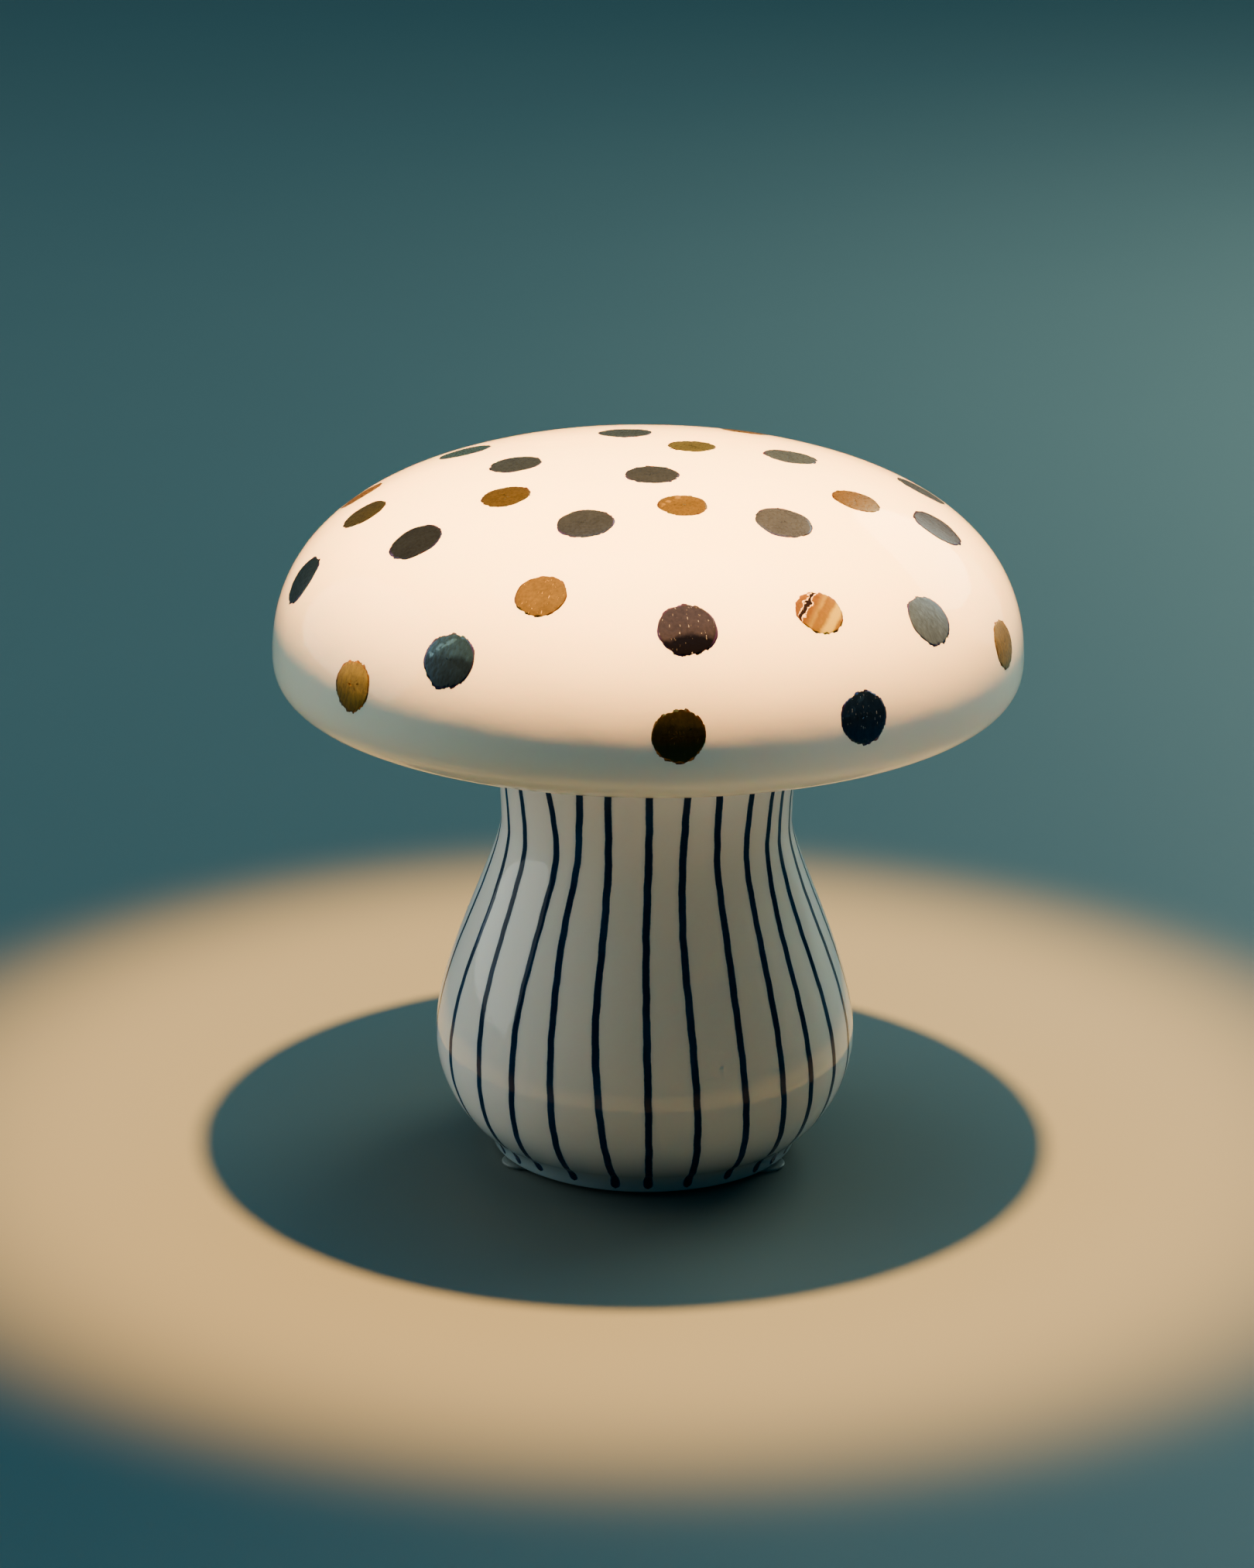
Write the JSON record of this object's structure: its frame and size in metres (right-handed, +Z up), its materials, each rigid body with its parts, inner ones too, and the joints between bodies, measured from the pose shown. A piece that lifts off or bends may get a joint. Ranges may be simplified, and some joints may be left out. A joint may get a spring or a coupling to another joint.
{
  "type": "mushroom ornament",
  "caption": "Free-standing glazed ceramic mushroom ornament: a domed, dotted cap that rests in the mouth of a swelling, striped stem, turns there and lifts off.",
  "frame": {"origin": "On the surface the ornament stands on, below the middle of the stem.", "axes": "+Z up along the axis that the cap and the stem are turned about; the picture's camera looks along +Y, with +X to its right."},
  "size_m": [0.18, 0.18, 0.1751],
  "materials": {
    "cap_glaze": "warm white gloss glaze",
    "stem_glaze": "off-white gloss glaze",
    "cobalt_line": "cobalt brush lines under the gloss glaze",
    "gold_lustre": "fired gold lustre with brush grain",
    "platinum_lustre": "fired dark platinum lustre with brush grain",
    "seat_ring": "soft milky silicone",
    "foot_pad": "clear soft silicone, slightly cloudy"
  },
  "bodies": {
    "stem": {"stem": "stem_glaze", "foot_pad_1": "foot_pad", "foot_pad_2": "foot_pad", "foot_pad_3": "foot_pad"},
    "seat_ring": {"seat_ring": "seat_ring"},
    "cap": {"cap": "cap_glaze"}
  },
  "joints": [
    {"name": "cap_turn", "type": "hinge", "parent": "stem", "child": "seat_ring", "pos_m": [0, 0, 0.1142], "axis": [0, 0, 1], "continuous": true},
    {"name": "cap_lift", "type": "slide", "parent": "seat_ring", "child": "cap", "axis": [0, 0, 1], "range_m": [0, 0.04]}
  ]
}
